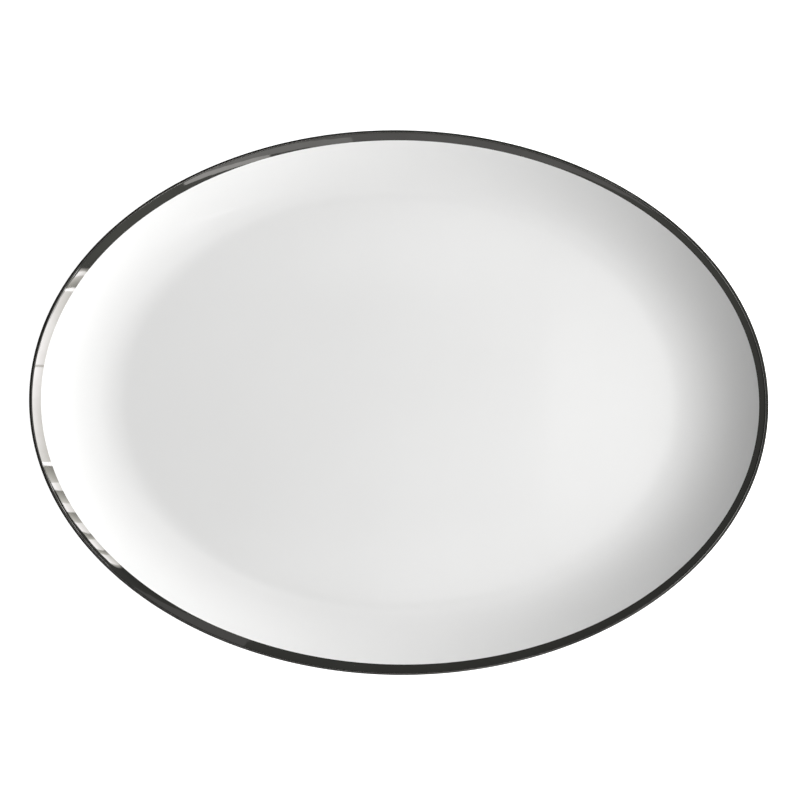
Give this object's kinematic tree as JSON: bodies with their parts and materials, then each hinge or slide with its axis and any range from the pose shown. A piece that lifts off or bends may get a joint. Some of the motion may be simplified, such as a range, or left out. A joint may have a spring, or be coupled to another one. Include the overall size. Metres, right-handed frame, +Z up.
{
  "type": "serving platter",
  "caption": "Oval coupe serving platter in glossy white china, with a flat well, a wall that curves up to a platinum-banded lip, and a foot ring.",
  "frame": {"origin": "centre of the oval, on the plane that the foot ring stands on", "axes": "+X along the length, +Y across the width, +Z up out of the well"},
  "size_m": [0.381, 0.279, 0.0254],
  "materials": {
    "china": "fired white china under the glaze",
    "bare_china": "bare ground china, matt",
    "glaze": "glossy white glaze",
    "platinum": "bright fired platinum",
    "enamel": "fired grey enamel"
  },
  "bodies": {
    "root": {"china_body": "china", "foot_ring": "bare_china", "glaze_coat": "glaze", "base_glaze": "glaze", "platinum_band": "platinum", "backstamp": "enamel"}
  },
  "joints": []
}
